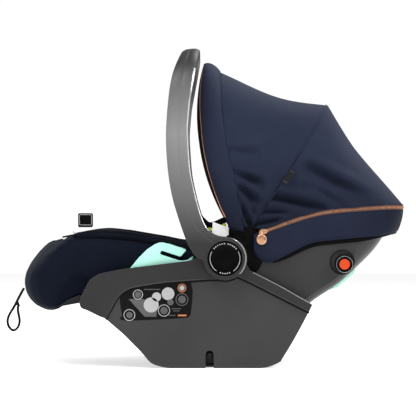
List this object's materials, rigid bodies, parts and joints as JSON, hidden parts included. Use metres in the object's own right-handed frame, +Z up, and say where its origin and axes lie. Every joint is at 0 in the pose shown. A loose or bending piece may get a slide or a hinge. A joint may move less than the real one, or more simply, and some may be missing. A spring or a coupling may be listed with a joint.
{
  "type": "infant car seat",
  "caption": "Infant car seat carrier with a turning carry handle, folding hood, reclining back, leg rest, belt guides and harness.",
  "frame": {"origin": "on the flat sole of the base at the centre plane, below the seat", "axes": "+X from the feet to the head, +Y to the child's right, +Z up"},
  "size_m": [0.7717, 0.4472, 0.6078],
  "materials": {
    "grey_plastic": "moulded, fine grain",
    "band_plastic": "moulded, fine grain",
    "shell_plastic": "moulded, fine grain",
    "black_plastic": "satin",
    "label_plate": "printed film, plain",
    "handle_satin": "metallic satin",
    "grip_rubber": "soft touch",
    "hood_fabric": "woven, soft",
    "skirt_fabric": "woven, padded",
    "cover_fabric": "woven, padded",
    "liner_fabric": "soft knit",
    "webbing": "woven tape",
    "mint_plastic": "smooth",
    "copper": "copper-coloured",
    "orange_plastic": "smooth",
    "red_plastic": "smooth",
    "steel": "bright",
    "foam": "expanded bead foam"
  },
  "bodies": {
    "base": {"base_tub": "grey_plastic", "side_band_left": "band_plastic", "side_band_right": "band_plastic", "lap_belt_guide_left": "mint_plastic", "lap_belt_guide_right": "mint_plastic", "latch_bar": "steel", "latch_bracket_left": "black_plastic", "latch_bracket_right": "black_plastic", "label_plate_left": "label_plate", "label_plate_right": "label_plate", "pivot_boss_left": "black_plastic", "pivot_boss_right": "black_plastic", "seat_pan": "black_plastic", "seat_foam": "foam", "seat_cover": "liner_fabric", "buckle_body": "black_plastic", "crotch_strap": "webbing", "buckle_tongue_left": "steel", "buckle_tongue_right": "steel", "lap_strap_left": "webbing", "lap_strap_right": "webbing"},
    "buckle_button": {"buckle_button": "red_plastic"},
    "leg_rest": {"leg_rest_pan": "grey_plastic", "leg_rest_cover": "cover_fabric", "rim_tag": "webbing", "pull_loop": "webbing"},
    "handle": {"handle_frame": "handle_satin", "grip_pad": "grip_rubber", "button_spring_left": "steel", "button_spring_right": "steel"},
    "handle_button_left": {"handle_button_left": "black_plastic"},
    "handle_button_right": {"handle_button_right": "black_plastic"},
    "back": {"rear_shell": "shell_plastic", "back_foam": "foam", "back_cover": "liner_fabric", "pod_socket_left": "black_plastic", "pod_socket_right": "black_plastic", "shoulder_belt_guide": "mint_plastic", "skirt": "skirt_fabric", "zipper": "copper", "zip_slider": "copper", "hood_pivot_left": "black_plastic", "hood_pivot_right": "black_plastic", "shoulder_pad_left": "liner_fabric", "shoulder_pad_right": "liner_fabric"},
    "release_lever": {"release_lever": "black_plastic"},
    "headrest": {"headrest": "liner_fabric"},
    "pod_left": {"pod_left": "black_plastic", "pod_badge_left": "orange_plastic"},
    "pod_right": {"pod_right": "black_plastic", "pod_badge_right": "orange_plastic"},
    "zip_pull": {"zip_pull": "copper"},
    "hood_mid": {"hood_mid_bow": "black_plastic", "hood_front_panel": "hood_fabric", "hood_rear_panel": "hood_fabric"},
    "hood_front": {"hood_front_bow": "black_plastic", "hood_visor": "hood_fabric"}
  },
  "joints": [
    {"name": "handle_turn", "type": "hinge", "parent": "base", "child": "handle", "pos_m": [0.0315, 0, 0.205], "axis": [0, -1, 0], "range_deg": [-112, 68]},
    {"name": "handle_button_left_press", "type": "slide", "parent": "handle", "child": "handle_button_left", "axis": [0, 1, 0], "range_m": [0, 0.004], "stiffness_N_per_m": 600, "springref_m": -0.004, "deforming": ["button_spring_left"]},
    {"name": "handle_button_right_press", "type": "slide", "parent": "handle", "child": "handle_button_right", "axis": [0, -1, 0], "range_m": [0, 0.004], "stiffness_N_per_m": 600, "springref_m": -0.004, "deforming": ["button_spring_right"]},
    {"name": "back_recline", "type": "hinge", "parent": "base", "child": "back", "pos_m": [0.0315, 0, 0.205], "axis": [0, -1, 0], "range_deg": [0, 15]},
    {"name": "leg_rest_tilt", "type": "hinge", "parent": "base", "child": "leg_rest", "pos_m": [-0.15, 0, 0.12], "axis": [0, -1, 0], "range_deg": [0, 12]},
    {"name": "release_lever_pull", "type": "hinge", "parent": "back", "child": "release_lever", "pos_m": [0.31391, 0, 0.21874], "axis": [0, -1, 0], "range_deg": [0, 20], "stiffness_Nm_per_rad": 0.08, "springref_deg": -17.19},
    {"name": "headrest_slide", "type": "slide", "parent": "back", "child": "headrest", "axis": [0.8115, 0, 0.5843], "range_m": [0, 0.02]},
    {"name": "pod_left_slide", "type": "slide", "parent": "back", "child": "pod_left", "axis": [0, -1, 0], "range_m": [-0.018, 0]},
    {"name": "pod_right_slide", "type": "slide", "parent": "back", "child": "pod_right", "axis": [0, 1, 0], "range_m": [-0.018, 0]},
    {"name": "zip_pull_swing", "type": "hinge", "parent": "back", "child": "zip_pull", "pos_m": [0.1, -0.1926, 0.253], "axis": [0, -1, 0], "range_deg": [-60, 60]},
    {"name": "hood_mid_fold", "type": "hinge", "parent": "back", "child": "hood_mid", "pos_m": [0.065, 0, 0.248], "axis": [0, -1, 0], "range_deg": [-30, 0], "deforming": ["hood_rear_panel", "hood_front_panel"]},
    {"name": "hood_front_fold", "type": "hinge", "parent": "hood_mid", "child": "hood_front", "pos_m": [0.065, 0, 0.248], "axis": [0, -1, 0], "range_deg": [-14, 0]},
    {"name": "buckle_button_press", "type": "slide", "parent": "base", "child": "buckle_button", "axis": [-0.0905, 0, -0.9959], "range_m": [0, 0.003], "stiffness_N_per_m": 500, "springref_m": -0.003}
  ],
  "couplings": [
    {"joint": "leg_rest_tilt", "follows": "back_recline", "ratio": 0.8},
    {"joint": "hood_front_fold", "follows": "hood_mid_fold", "ratio": 0.4667}
  ]
}
